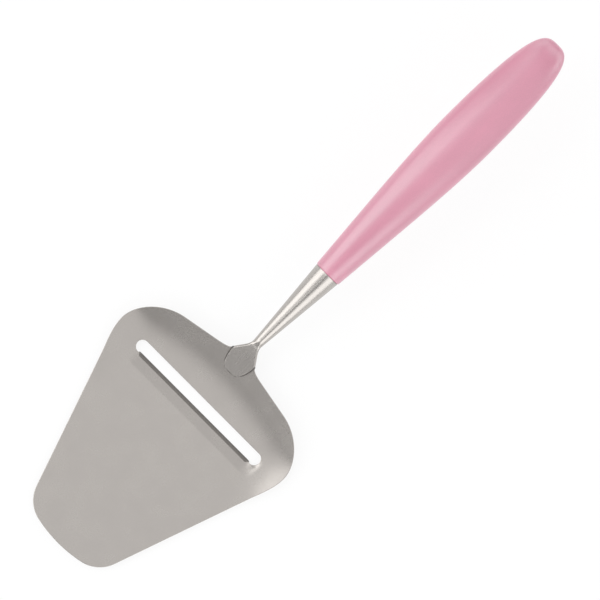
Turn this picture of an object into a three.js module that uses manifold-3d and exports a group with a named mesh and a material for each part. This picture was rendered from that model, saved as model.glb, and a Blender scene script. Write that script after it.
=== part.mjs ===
// A cheese slicer: a slotted sheet blade, a forged shank welded on top of its rear edge,
// and an arched moulded handle that is built up on a rod fixed in the shank.
// Lengths are millimetres. +X runs from the blade's tip to the handle, +Y to the left, +Z up.
// The origin is the middle of the flat sole, on its underside.

import * as THREE from "three";
import { mergeVertices } from "three/addons/utils/BufferGeometryUtils.js";
import Module from "manifold-3d";

const wasm = await Module();
wasm.setup();

const degrees = THREE.MathUtils.degToRad;

// Fits
const seatGap = 0.3; // left between pieces that touch
const overrun = 2; // by which a cutter passes the faces that it cuts

// Blade outline, seen from above
const soleLength = 62.4; // flat, from the tip to the crease of the lip
const bladeWidth = 80.3;
const creaseInset = 2.2; // of each side at the crease, from the widest
const sideTaper = degrees(19.1); // of each side to the midline
const tipRadius = 51.5;
const cornerRadius = 12;
const widestSetback = 9.4; // from the crease to the widest point
const shoulderLead = 13.3; // each shoulder curves this far ahead of the widest point
const shoulderLeadShares = [0.3, 0.37];
const shoulderTailShares = [0.4, 0.6];
const rearReach = 20.2; // from the widest point to where the two rear lines would meet
const rearSweep = degrees(10.4);
const rearLineSpan = 49; // across the outer ends of the two straight rear lines
const tabReach = 0.4; // of the tab under the shank, past the rear lines
const tabInset = 0.25; // of the tab's sides, from those of the pad
const tabFilletWidth = 5;

// Blade sheet, its slot and the lip pressed down ahead of the slot
const sheetThickness = 0.8;
const slotLength = 60.1;
const slotClear = 4.2; // between the cutting edge and the slot's rear side
const lipReach = 0.5; // of the cutting edge past the punched side of the slot
const lipRun = 5.4; // from the crease to the cutting edge
const lipDrop = 1.3;
const lipEndMargin = 0.2; // between the lip and the slot's round ends
const lipEndRun = 3.4; // in which the lip rises to the sheet at each end
const lipCurveShare = 0.22; // of the lip's run that is curved, next to the crease
const bevelRun = 1.3;
const edgeLand = 0.12;

// Upward bend behind the slot
const bendSetback = 4.2; // from the slot's rear side to the start of the bend
const bendRadius = 22;
const bendLineRadius = 118; // the bend line bows forward at the sides
const riseAngle = degrees(15);

// Shank: a flat pad, a neck and a tapered stem
const padOverlap = 6.8; // of the pad on the sheet, ahead of where the rear lines would meet
const padThickness = 1.4;
const padEdgeRound = 0.4;
const padNoseWidth = 5.4;
const padWidth = 11.5;
const padWidestAt = 7.4; // from the pad's front
const padTaper = degrees(34);
const padCheekShare = 0.22; // where the curve from the nose to the widest point is steered
const neckDiameter = 3.7;
const noseRun = 2.2; // in which the stem rises out of the flat pad
const noseLap = 0.8; // of the stem over the end of the pad's taper
const stemLength = 35.7; // from the neck to the handle
const stemDiameter = 10.2; // at the handle
const boreDepth = 14;

// Welds between the pad and the sheet, as shares of their overlap and of the pad's width
const weldDiameter = 2.2;
const frontWeldShare = 0.36;
const rearWeldShare = 0.8;
const weldSpacingShare = 0.5;

// Handle: a skin over a core, moulded on the rod
const handleLength = 114.8; // along its arched axis
const handleTurn = degrees(16); // from the slope of the shank to the slope of the butt
const handleStep = 0.2; // by which the handle stands proud of the stem
const handleWidth = 20.1;
const handleHeight = 14;
const handleWidestAt = 70.4;
const handleThickestAt = 62;
const handleEdgeRound = 0.3;
const widthShares = { lead: 0.43, rise: 0.52, crest: 0.24, tail: 1, butt: 0.57 };
const heightShares = { lead: 0.34, rise: 0.78, crest: 0.34, tail: 0.66, butt: 0.82 };
const shellWall = 2;
const buttWall = 6;
const coreWall = 0.8; // around the rod, at the front
const coreEndRound = 5;

// Ring grooves that keep the moulding on the rod
const rodChamfer = 0.4;
const grooveDepth = 0.4;
const grooveWidth = 2.4;
const groovePitch = 8;
const grooveStart = 12; // from the front of the handle
const grooveCount = 5;
const rodTail = 4; // past the last pitch

// Mesh fineness
const arcSteps = 12;
const lipSteps = 5;
const bevelSteps = 2;
const bendSteps = 16;
const acrossSteps = 7;
const lipEndSteps = 4;
const marginSteps = 5;
const leadRings = 12;
const tailRings = 13;
const handleSides = 28;
const coreSides = 20;
const rodSides = 16;
const stemSides = 36;
const curveTolerance = 1e-7; // of a place on a curve, as a share of the curve

// Places and sizes that follow from those above
const tipX = -soleLength / 2;
const creaseX = soleLength / 2;
const edgeX = creaseX + lipRun;
const slotFrontX = edgeX - lipReach;
const slotRearX = edgeX + slotClear;
const slotMidX = (slotFrontX + slotRearX) / 2;
const slotRadius = (slotRearX - slotFrontX) / 2;
const slotEndY = slotLength / 2 - slotRadius;
const lipEndY = slotEndY - lipEndMargin;
const bendX = slotRearX + bendSetback;
const widestX = creaseX + widestSetback;
const rearX = widestX + rearReach;
const tabX = rearX + tabReach;
const taperEnd = padWidestAt + (padWidth - neckDiameter) / 2 / Math.tan(padTaper);
const noseStart = taperEnd - noseLap;
const neckAt = noseStart + noseRun;
const shankLength = neckAt + stemLength;
const handleFrontDiameter = stemDiameter + 2 * handleStep;
const boreDiameter = handleFrontDiameter - 2 * (shellWall + seatGap + coreWall);
const rodDiameter = boreDiameter - 2 * seatGap;
const rodReach = grooveStart + grooveCount * groovePitch + rodTail;
const coreEnd = handleLength - buttWall;
const handleRadius = handleLength / handleTurn;

function toSolid(geometry) {
  geometry.deleteAttribute("normal");
  geometry.deleteAttribute("uv");
  const closed = mergeVertices(geometry);
  return new wasm.Manifold(
    new wasm.Mesh({
      numProp: 3,
      vertProperties: new Float32Array(closed.attributes.position.array),
      triVerts: new Uint32Array(closed.index.array),
    }),
  );
}

function toGeometry(solid) {
  const mesh = solid.getMesh();
  return meshOf(mesh.vertProperties, Array.from(mesh.triVerts));
}

function meshOf(points, faces) {
  const geometry = new THREE.BufferGeometry();
  geometry.setAttribute("position", new THREE.Float32BufferAttribute(points, 3));
  geometry.setIndex(faces);
  geometry.computeVertexNormals();
  return geometry;
}

function steps(from, to, count) {
  return Array.from({ length: count + 1 }, (_, i) => from + ((to - from) * i) / count);
}

function ease(share) {
  const held = THREE.MathUtils.clamp(share, 0, 1);
  return held * held * (3 - 2 * held);
}

// A closed slab over a grid of places, between two heights that depend on the place
function slab(xs, ys, heightBelow, heightAbove) {
  const points = [];
  for (const height of [heightBelow, heightAbove]) {
    for (const x of xs) {
      for (const y of ys) {
        points.push(x, y, height(x, y));
      }
    }
  }
  const at = (i, j, top) => (top * xs.length + i) * ys.length + j;
  const faces = [];
  const quad = (a, b, c, d) => faces.push(a, b, c, a, c, d);
  const lastX = xs.length - 1;
  const lastY = ys.length - 1;
  for (let i = 0; i < lastX; i += 1) {
    for (let j = 0; j < lastY; j += 1) {
      quad(at(i, j, 1), at(i + 1, j, 1), at(i + 1, j + 1, 1), at(i, j + 1, 1));
      quad(at(i, j, 0), at(i, j + 1, 0), at(i + 1, j + 1, 0), at(i + 1, j, 0));
    }
    quad(at(i, 0, 0), at(i + 1, 0, 0), at(i + 1, 0, 1), at(i, 0, 1));
    quad(at(i + 1, lastY, 0), at(i, lastY, 0), at(i, lastY, 1), at(i + 1, lastY, 1));
  }
  for (let j = 0; j < lastY; j += 1) {
    quad(at(0, j + 1, 0), at(0, j, 0), at(0, j, 1), at(0, j + 1, 1));
    quad(at(lastX, j, 0), at(lastX, j + 1, 0), at(lastX, j + 1, 1), at(lastX, j, 1));
  }
  return meshOf(points, faces);
}

// Height that the sheet behind the slot has gained, and the slope it has there
function riseAt(x, y) {
  const bow = bendLineRadius - Math.sqrt(bendLineRadius * bendLineRadius - y * y);
  const past = x - bendX + bow;
  const arcRun = bendRadius * Math.sin(riseAngle);
  if (past <= 0) {
    return { height: 0, slope: 0 };
  }
  if (past < arcRun) {
    const slope = Math.asin(past / bendRadius);
    return { height: bendRadius * (1 - Math.cos(slope)), slope };
  }
  const arcHeight = bendRadius * (1 - Math.cos(riseAngle));
  return { height: arcHeight + (past - arcRun) * Math.tan(riseAngle), slope: riseAngle };
}

function lipEndFade(y) {
  return ease((lipEndY - Math.abs(y)) / lipEndRun);
}

// Share of the lip's full depth at a place along and across the blade
function lipShare(x, y) {
  if (x <= creaseX || x >= slotMidX) {
    return 0;
  }
  const run = (Math.min(x, edgeX) - creaseX) / lipRun;
  const curved =
    run < lipCurveShare ? (run * run) / (2 * lipCurveShare) : run - lipCurveShare / 2;
  return (curved / (1 - lipCurveShare / 2)) * lipEndFade(y);
}

function undersideAt(x, y) {
  return riseAt(x, y).height - lipDrop * lipShare(x, y);
}

function topsideAt(x, y) {
  const ground = x < slotMidX ? Math.max(0, 1 - (edgeX - Math.min(x, edgeX)) / bevelRun) : 0;
  const thickness = sheetThickness - (sheetThickness - edgeLand) * ground * lipEndFade(y);
  return undersideAt(x, y) + thickness / Math.cos(riseAt(x, y).slope);
}

// The arc of the tip and the arcs of its corners touch each other and the straight sides
function tipArcs() {
  const along = new THREE.Vector2(Math.cos(sideTaper), Math.sin(sideTaper));
  const inward = new THREE.Vector2(Math.sin(sideTaper), -Math.cos(sideTaper));
  const tipCentre = new THREE.Vector2(tipX + tipRadius, 0);
  const onSide = new THREE.Vector2(creaseX, bladeWidth / 2 - creaseInset);
  const start = onSide.addScaledVector(inward, cornerRadius);
  const offset = start.clone().sub(tipCentre);
  const reach = tipRadius - cornerRadius;
  const lean = offset.dot(along);
  const back = lean + Math.sqrt(lean * lean - offset.lengthSq() + reach * reach);
  const corner = start.addScaledVector(along, -back);
  return { tipCentre, corner, turn: Math.atan2(corner.y, corner.x - tipCentre.x) };
}

// Points that steer one rear shoulder, from the straight side to the tab under the shank
function shoulderPoints(side) {
  const widestY = bladeWidth / 2;
  const leadX = widestX - shoulderLead;
  const leadY = widestY - creaseInset - (creaseX - leadX) * Math.tan(sideTaper);
  const leadSteer = shoulderLead * shoulderLeadShares[0];
  const tailY = rearLineSpan / 2;
  const tailX = rearX - tailY * Math.tan(rearSweep);
  const tailRun = tailX - widestX;
  const tailSteer = tailRun * shoulderTailShares[1];
  const tabY = padWidth / 2 - tabInset;
  const filletY = tabY + tabFilletWidth;
  const point = (x, y) => new THREE.Vector2(x, y * side);
  return {
    lead: point(leadX, leadY),
    leadOut: point(
      leadX + leadSteer * Math.cos(sideTaper),
      leadY + leadSteer * Math.sin(sideTaper),
    ),
    widestIn: point(widestX - shoulderLead * shoulderLeadShares[1], widestY),
    widest: point(widestX, widestY),
    widestOut: point(widestX + tailRun * shoulderTailShares[0], widestY),
    tailIn: point(
      tailX - tailSteer * Math.sin(rearSweep),
      tailY + tailSteer * Math.cos(rearSweep),
    ),
    tail: point(tailX, tailY),
    fillet: point(rearX - filletY * Math.tan(rearSweep), filletY),
    filletSteer: point(rearX - tabY * Math.tan(rearSweep), tabY),
    tab: point(tabX, tabY),
  };
}

function lineTo(shape, end) {
  shape.lineTo(end.x, end.y);
}

function curveTo(shape, steer, end) {
  shape.quadraticCurveTo(steer.x, steer.y, end.x, end.y);
}

function cubicTo(shape, steerOut, steerIn, end) {
  shape.bezierCurveTo(steerOut.x, steerOut.y, steerIn.x, steerIn.y, end.x, end.y);
}

function bladeOutline() {
  const { tipCentre, corner, turn } = tipArcs();
  const fullTurn = 2 * Math.PI;
  const sideNormal = Math.PI / 2 + sideTaper;
  const right = shoulderPoints(-1);
  const left = shoulderPoints(1);
  const shape = new THREE.Shape();
  shape.absarc(tipCentre.x, 0, tipRadius, turn, fullTurn - turn);
  shape.absarc(corner.x, -corner.y, cornerRadius, fullTurn - turn, fullTurn - sideNormal);
  lineTo(shape, right.lead);
  cubicTo(shape, right.leadOut, right.widestIn, right.widest);
  cubicTo(shape, right.widestOut, right.tailIn, right.tail);
  lineTo(shape, right.fillet);
  curveTo(shape, right.filletSteer, right.tab);
  lineTo(shape, left.tab);
  curveTo(shape, left.filletSteer, left.fillet);
  lineTo(shape, left.tail);
  cubicTo(shape, left.tailIn, left.widestOut, left.widest);
  cubicTo(shape, left.widestIn, left.leadOut, left.lead);
  shape.absarc(corner.x, corner.y, cornerRadius, sideNormal, turn);
  return shape;
}

// Round-ended slot whose front side is the cutting edge between the ends of the lip
function slotOutline() {
  const edgeEndY = lipEndY - lipReach;
  const shape = new THREE.Shape();
  shape.absarc(slotMidX, slotEndY, slotRadius, 0, Math.PI);
  shape.lineTo(slotFrontX, lipEndY);
  shape.lineTo(edgeX, edgeEndY);
  shape.lineTo(edgeX, -edgeEndY);
  shape.lineTo(slotFrontX, -lipEndY);
  shape.absarc(slotMidX, -slotEndY, slotRadius, Math.PI, 2 * Math.PI);
  return shape;
}

function uprightCutter(shape, bottom, top) {
  const cutter = new THREE.ExtrudeGeometry(shape, {
    depth: top - bottom,
    bevelEnabled: false,
    curveSegments: arcSteps,
  });
  return toSolid(cutter.translate(0, 0, bottom));
}

// Group of the shank: +X up its slope, origin at the front of the pad, on the pad's mid-plane
function shankGroup() {
  const frontX = rearX - padOverlap;
  const lift = sheetThickness + seatGap + padThickness / 2;
  const group = new THREE.Group();
  group.position.x = frontX - lift * Math.sin(riseAngle);
  group.position.z = riseAt(frontX, 0).height + lift * Math.cos(riseAngle);
  group.rotation.y = -riseAngle;
  group.updateMatrix();
  return group;
}

function weldPlaces() {
  const overlap = padOverlap + tabReach;
  const side = (padWidth * weldSpacingShare) / 2;
  return {
    weld_front: [overlap * frontWeldShare, 0],
    weld_left: [overlap * rearWeldShare, side],
    weld_right: [overlap * rearWeldShare, -side],
  };
}

// A weld fills a hole through the sheet below the pad
function weldCylinder([along, across], radius, past) {
  const height = sheetThickness + 2 * past;
  const middle = -padThickness / 2 - seatGap - sheetThickness / 2;
  const cylinder = new THREE.CylinderGeometry(radius, radius, height, rodSides);
  return cylinder.rotateX(Math.PI / 2).translate(along, across, middle);
}

function makeBlade(shank) {
  const xs = [
    tipX - overrun,
    ...steps(creaseX, edgeX - bevelRun, lipSteps),
    ...steps(edgeX - bevelRun, edgeX, bevelSteps).slice(1),
    slotMidX,
    ...steps(slotRearX, tabX + overrun, bendSteps),
  ];
  const lipFlatEndY = lipEndY - lipEndRun;
  const halfYs = [
    ...steps(0, lipFlatEndY, acrossSteps),
    ...steps(lipFlatEndY, lipEndY, lipEndSteps).slice(1),
    ...steps(lipEndY, bladeWidth / 2 + overrun, marginSteps).slice(1),
  ];
  const ys = [...halfYs.slice(1).reverse().map((y) => -y), ...halfYs];
  const bottom = -lipDrop - overrun;
  const top = topsideAt(tabX + overrun, bladeWidth / 2 + overrun) + overrun;
  const sheet = toSolid(slab(xs, ys, undersideAt, topsideAt));
  const outlined = sheet.intersect(uprightCutter(bladeOutline(), bottom, top));
  let blade = outlined.subtract(uprightCutter(slotOutline(), bottom, top));
  for (const place of Object.values(weldPlaces())) {
    const hole = weldCylinder(place, weldDiameter / 2 + seatGap, overrun);
    blade = blade.subtract(toSolid(hole.applyMatrix4(shank.matrix)));
  }
  return toGeometry(blade);
}

// Shield-shaped pad that narrows to the neck and runs on inside the stem
function padOutline() {
  const noseY = padNoseWidth / 2;
  const widestY = padWidth / 2;
  const neckY = neckDiameter / 2;
  const cheekX = padWidestAt * padCheekShare;
  const cheekY = noseY + (widestY - noseY) * (1 - padCheekShare);
  const filletX = taperEnd - neckY * Math.cos(padTaper);
  const filletY = neckY + neckY * Math.sin(padTaper);
  const insideX = taperEnd + neckY;
  const round = padEdgeRound;
  const shape = new THREE.Shape();
  shape.moveTo(0, noseY - round);
  shape.lineTo(0, -noseY + round);
  shape.quadraticCurveTo(0, -noseY, round, -noseY - round / 2);
  shape.quadraticCurveTo(cheekX, -cheekY, padWidestAt, -widestY);
  shape.lineTo(filletX, -filletY);
  shape.quadraticCurveTo(taperEnd, -neckY, insideX, -neckY);
  shape.lineTo(insideX, neckY);
  shape.quadraticCurveTo(taperEnd, neckY, filletX, filletY);
  shape.lineTo(padWidestAt, widestY);
  shape.quadraticCurveTo(cheekX, cheekY, round, noseY + round / 2);
  shape.quadraticCurveTo(0, noseY, 0, noseY - round);
  return shape;
}

function makeShank() {
  const pad = new THREE.ExtrudeGeometry(padOutline(), {
    depth: padThickness - 2 * padEdgeRound,
    bevelThickness: padEdgeRound,
    bevelSize: padEdgeRound,
    bevelOffset: -padEdgeRound,
    bevelSegments: 2,
    curveSegments: arcSteps / 2,
  });
  pad.translate(0, 0, padEdgeRound - padThickness / 2);
  const neckRadius = neckDiameter / 2;
  const boreRadius = boreDiameter / 2;
  const profile = steps(0, Math.PI / 2, arcSteps / 2).map(
    (angle) =>
      new THREE.Vector2(neckRadius * Math.sin(angle), neckAt - noseRun * Math.cos(angle)),
  );
  profile.push(
    new THREE.Vector2(stemDiameter / 2, shankLength),
    new THREE.Vector2(boreRadius, shankLength),
    new THREE.Vector2(boreRadius, shankLength - boreDepth),
    new THREE.Vector2(0, shankLength - boreDepth),
  );
  const stem = new THREE.LatheGeometry(profile, stemSides).rotateZ(-Math.PI / 2);
  return toGeometry(toSolid(stem).add(toSolid(pad)));
}

// The handle's axis: straight inside the shank, then an arc that turns down
function onAxis(along) {
  const turn = Math.max(0, along) / handleRadius;
  const centre = new THREE.Vector3(
    Math.min(0, along) + handleRadius * Math.sin(turn),
    0,
    -handleRadius * (1 - Math.cos(turn)),
  );
  return { centre, up: new THREE.Vector3(Math.sin(turn), 0, Math.cos(turn)) };
}

// A closed skin over oval rings on the handle's axis, with a point on the axis at each end
function loft(rings, sides, startAt, endAt) {
  const points = [];
  for (const ring of rings) {
    const { centre, up } = onAxis(ring.at);
    for (let j = 0; j < sides; j += 1) {
      const turn = (2 * Math.PI * j) / sides;
      const place = centre.clone().addScaledVector(up, ring.halfHeight * Math.sin(turn));
      points.push(place.x, ring.halfWidth * Math.cos(turn), place.z);
    }
  }
  const start = rings.length * sides;
  const end = start + 1;
  for (const along of [startAt, endAt]) {
    const { centre } = onAxis(along);
    points.push(centre.x, 0, centre.z);
  }
  const lastRing = start - sides;
  const faces = [];
  for (let j = 0; j < sides; j += 1) {
    const next = (j + 1) % sides;
    faces.push(start, next, j, end, lastRing + j, lastRing + next);
    for (let near = 0; near < lastRing; near += sides) {
      const far = near + sides;
      faces.push(near + j, near + next, far + next, near + j, far + next, far + j);
    }
  }
  return meshOf(points, faces);
}

// Half of the handle's outline in one view, as a curve to its crest and a curve to its butt
function handleCurves(frontHalf, crestHalf, crestAt, shares) {
  const point = (x, y) => new THREE.Vector2(x, y);
  const rise = (crestHalf - frontHalf) * shares.rise;
  const tail = (handleLength - crestAt) * shares.tail;
  const crest = point(crestAt, crestHalf);
  return [
    new THREE.CubicBezierCurve(
      point(0, frontHalf),
      point(crestAt * shares.lead, frontHalf + rise),
      point(crestAt * (1 - shares.crest), crestHalf),
      crest,
    ),
    new THREE.CubicBezierCurve(
      crest,
      point(crestAt + tail, crestHalf),
      point(handleLength, crestHalf * shares.butt),
      point(handleLength, 0),
    ),
  ];
}

const frontHalf = handleFrontDiameter / 2;
const widthCurves = handleCurves(frontHalf, handleWidth / 2, handleWidestAt, widthShares);
const heightCurves = handleCurves(frontHalf, handleHeight / 2, handleThickestAt, heightShares);

// Distance of an outline from the axis at a place along the handle, by halving the curve
function halfAt([lead, tail], along) {
  const curve = along <= tail.v0.x ? lead : tail;
  let low = 0;
  let high = 1;
  while (high - low > curveTolerance) {
    const middle = (low + high) / 2;
    if (curve.getPoint(middle).x < along) {
      low = middle;
    } else {
      high = middle;
    }
  }
  return curve.getPoint(low).y;
}

function handleRing(along, inset) {
  return {
    at: along,
    halfWidth: halfAt(widthCurves, along) - inset,
    halfHeight: halfAt(heightCurves, along) - inset,
  };
}

function handlePlaces() {
  const [lead, tail] = widthCurves;
  const points = [...lead.getPoints(leadRings).slice(1), ...tail.getPoints(tailRings).slice(1, -1)];
  return points.map((point) => point.x);
}

function outerHandle() {
  const rings = [
    handleRing(seatGap, handleEdgeRound),
    ...[seatGap + handleEdgeRound, ...handlePlaces()].map((along) => handleRing(along, 0)),
  ];
  return loft(rings, handleSides, seatGap, handleLength);
}

// The hollow of the shell and the core that fills it differ by their inset and their ends
function innerHandle(inset, frontAt, endAt) {
  const roundedFrom = coreEnd - coreEndRound;
  const straight = handlePlaces().filter((along) => along < roundedFrom - coreEndRound);
  const rings = [frontAt, ...straight, roundedFrom].map((along) => handleRing(along, inset));
  for (const angle of steps(0, Math.PI / 2, arcSteps / 2).slice(1, -1)) {
    const ring = handleRing(roundedFrom + (endAt - roundedFrom) * Math.sin(angle), inset);
    ring.halfWidth *= Math.cos(angle);
    ring.halfHeight *= Math.cos(angle);
    rings.push(ring);
  }
  return loft(rings, coreSides, frontAt, endAt);
}

function makeShell() {
  const hollow = innerHandle(shellWall, 0, coreEnd + seatGap);
  return toGeometry(toSolid(outerHandle()).subtract(toSolid(hollow)));
}

// The rod with its ring grooves, or the same form grown on all sides
function rodForm(grow, startAt, endAt) {
  const radius = rodDiameter / 2 + grow;
  const rings = [];
  const addRing = (at, inset) =>
    rings.push({ at, halfWidth: radius - inset, halfHeight: radius - inset });
  addRing(startAt, rodChamfer);
  addRing(startAt + rodChamfer, 0);
  for (let i = 0; i < grooveCount; i += 1) {
    const from = grooveStart + i * groovePitch;
    const to = from + grooveWidth;
    addRing(from, 0);
    addRing(from + grooveDepth, grooveDepth);
    addRing(to - grooveDepth, grooveDepth);
    addRing(to, 0);
  }
  addRing(endAt - rodChamfer, 0);
  addRing(endAt, rodChamfer);
  return loft(rings, rodSides, startAt, endAt);
}

function makeRod() {
  return rodForm(0, seatGap - boreDepth, rodReach);
}

function makeCore() {
  const body = toSolid(innerHandle(shellWall + seatGap, seatGap, coreEnd));
  const bore = toSolid(rodForm(seatGap, -overrun, rodReach + seatGap));
  return toGeometry(body.subtract(bore));
}

function finish(color, roughness, metalness) {
  return new THREE.MeshStandardMaterial({ color, roughness, metalness });
}

const mattSteel = finish(0xb2ada8, 0.45, 1);
const satinSteel = finish(0xd6d2cb, 0.28, 1);
const weldSteel = finish(0xa39e99, 0.55, 1);
const rodSteel = finish(0xb9b6b1, 0.35, 1);
const corePlastic = finish(0xe6e1dc, 0.6, 0);
const pinkPlastic = finish(0xdd9fb4, 0.42, 0);

function addPiece(group, name, geometry, material) {
  const mesh = new THREE.Mesh(geometry, material);
  mesh.name = name;
  group.add(mesh);
}

const slicer = new THREE.Group();
const shank = shankGroup();
addPiece(slicer, "blade", makeBlade(shank), mattSteel);
addPiece(shank, "shank", makeShank(), satinSteel);
for (const [name, place] of Object.entries(weldPlaces())) {
  addPiece(shank, name, weldCylinder(place, weldDiameter / 2, 0), weldSteel);
}
slicer.add(shank);

const handle = new THREE.Group();
handle.position.x = shankLength;
addPiece(handle, "rod", makeRod(), rodSteel);
addPiece(handle, "handle_core", makeCore(), corePlastic);
addPiece(handle, "handle_shell", makeShell(), pinkPlastic);
shank.add(handle);

export default slicer;
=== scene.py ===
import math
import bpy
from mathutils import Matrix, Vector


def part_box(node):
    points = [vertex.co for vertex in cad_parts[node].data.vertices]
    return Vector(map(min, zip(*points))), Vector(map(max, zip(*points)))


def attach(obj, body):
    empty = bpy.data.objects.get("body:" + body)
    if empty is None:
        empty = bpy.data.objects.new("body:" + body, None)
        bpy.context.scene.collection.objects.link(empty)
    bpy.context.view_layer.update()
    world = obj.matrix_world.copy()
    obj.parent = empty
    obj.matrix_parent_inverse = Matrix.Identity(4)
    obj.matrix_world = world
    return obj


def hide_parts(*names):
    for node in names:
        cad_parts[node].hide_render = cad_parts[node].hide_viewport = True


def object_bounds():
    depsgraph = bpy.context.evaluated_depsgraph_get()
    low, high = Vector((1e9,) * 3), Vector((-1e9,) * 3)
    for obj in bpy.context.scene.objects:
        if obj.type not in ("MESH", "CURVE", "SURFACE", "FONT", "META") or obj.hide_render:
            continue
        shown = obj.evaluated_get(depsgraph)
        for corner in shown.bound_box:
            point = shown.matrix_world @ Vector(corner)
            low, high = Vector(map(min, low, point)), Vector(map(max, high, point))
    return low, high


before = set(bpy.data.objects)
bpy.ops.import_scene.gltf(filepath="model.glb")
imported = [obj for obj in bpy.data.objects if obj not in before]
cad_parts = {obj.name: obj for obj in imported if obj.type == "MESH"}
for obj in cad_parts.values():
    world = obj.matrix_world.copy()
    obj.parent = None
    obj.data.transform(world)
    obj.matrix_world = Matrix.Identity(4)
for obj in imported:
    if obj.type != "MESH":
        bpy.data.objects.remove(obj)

# Looks of a cheese slicer, made around its solids: the pressed blade, the forged shank,
# the spot welds between them and the moulded handle, with a finish for each.
# Lengths are metres. +X runs from the blade's tip to the handle, +Y to the left, +Z up.

from types import SimpleNamespace

import bmesh
import bpy
import numpy as np
from mathutils import Matrix, Vector
from mathutils.geometry import delaunay_2d_cdt

bl_info = {
    "name": "Cheese slicer",
    "version": (1, 0, 0),
    "blender": (4, 5, 0),
    "location": "3D View > Sidebar > Slicer",
    "description": "Makes the visible pieces and finishes of a cheese slicer around its solids",
    "category": "Add Mesh",
}

MM = 0.001
BODY = "root"
CAD_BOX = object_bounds()
BLADE_LOW, BLADE_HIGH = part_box("blade")
SHANK_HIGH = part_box("shank")[1]
ROD_LOW, ROD_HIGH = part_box("rod")
WELD_LOW, WELD_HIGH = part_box("weld_front")


def length(name, text, millimetres):
    return bpy.props.FloatProperty(
        name=name, description=text, default=millimetres * MM, unit="LENGTH", precision=5
    )


def angle(name, text, degrees):
    return bpy.props.FloatProperty(
        name=name, description=text, default=math.radians(degrees), subtype="ANGLE"
    )


def share(name, text, default):
    return bpy.props.FloatProperty(
        name=name, description=text, default=default, min=0, max=1, subtype="FACTOR"
    )


def colour(name, text, default):
    return bpy.props.FloatVectorProperty(
        name=name, description=text, default=default, min=0, max=1, size=3, subtype="COLOR"
    )


class SlicerBlade(bpy.types.PropertyGroup):
    """Sizes of the pressed sheet"""

    sole_length: length("Sole length", "Flat part, from the tip to the crease of the lip", 62.4)
    crease_inset: length("Crease inset", "Of each side at the crease, from the widest", 2.2)
    side_taper: angle("Side taper", "Of each side to the midline", 19.1)
    tip_radius: length("Tip radius", "Of the long arc at the tip", 51.5)
    corner_radius: length("Corner radius", "Of the two front corners", 12)
    widest_setback: length("Widest setback", "From the crease to the widest point", 9.4)
    shoulder_lead: length("Shoulder lead", "Start of each shoulder, ahead of the widest", 13.3)
    rear_reach: length("Rear reach", "From the widest point to where the rear lines meet", 20.2)
    rear_sweep: angle("Rear sweep", "Of each straight rear line", 10.4)
    rear_span: length("Rear span", "Across the outer ends of the straight rear lines", 49)
    tab_inset: length("Tab inset", "Of the tab's sides, from those of the pad", 0.25)
    tab_fillet: length("Tab fillet", "Width of the curve from a rear line to the tab", 5)
    thickness: length("Thickness", "Of the sheet", 0.8)
    edge_round: length("Edge round", "Radius of the tumbled edges of the sheet", 0.16)
    slot_length: length("Slot length", "With its round ends", 60.1)
    slot_clear: length("Slot clear", "From the cutting edge to the slot's rear side", 4.2)
    lip_reach: length("Lip reach", "Of the cutting edge past the punched side", 0.5)
    lip_run: length("Lip run", "From the crease to the cutting edge", 5.4)
    lip_corner: length("Lip corner", "Length of the curve at each end of the edge", 0.8)
    lip_end_run: length("Lip end run", "In which the lip rises to the sheet at each end", 5.6)
    lip_end_reach: length("Lip end reach", "Of the pressed part past the ends of the slot", 1.5)
    lip_curve: share("Lip curve", "Share of the lip's run that is curved", 0.06)
    bevel_run: length("Bevel run", "Width of the ground bevel with painted shade", 1.35)
    bevel_end_run: length("Bevel end run", "In which the bevel narrows at each end", 1.6)
    edge_land: length("Edge land", "Thickness left at the cutting edge", 0.12)
    bend_setback: length("Bend setback", "From the slot's rear side to the bend", 4.2)
    bend_radius: length("Bend radius", "Of the upward bend", 22)
    bend_run: length("Bend run", "In which the slope of the bend grows", 14)
    bend_line_radius: length("Bend line radius", "Of the bowed line of the bend", 110)
    rise: angle("Rise", "Slope of the rear of the sheet and of the shank", 15)
    flare_width: length("Flare width", "Of the outer part of each shoulder, which flares up", 12.5)
    flare_height: length("Flare height", "Of the outer edge of each shoulder", 1.35)
    flare_at: length("Flare at", "Its highest place, behind the crease", 4)
    flare_lead: length("Flare lead", "From the front end of the flare to there", 19)
    flare_tail: length("Flare tail", "From there to the rear end of the flare", 14)


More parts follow.
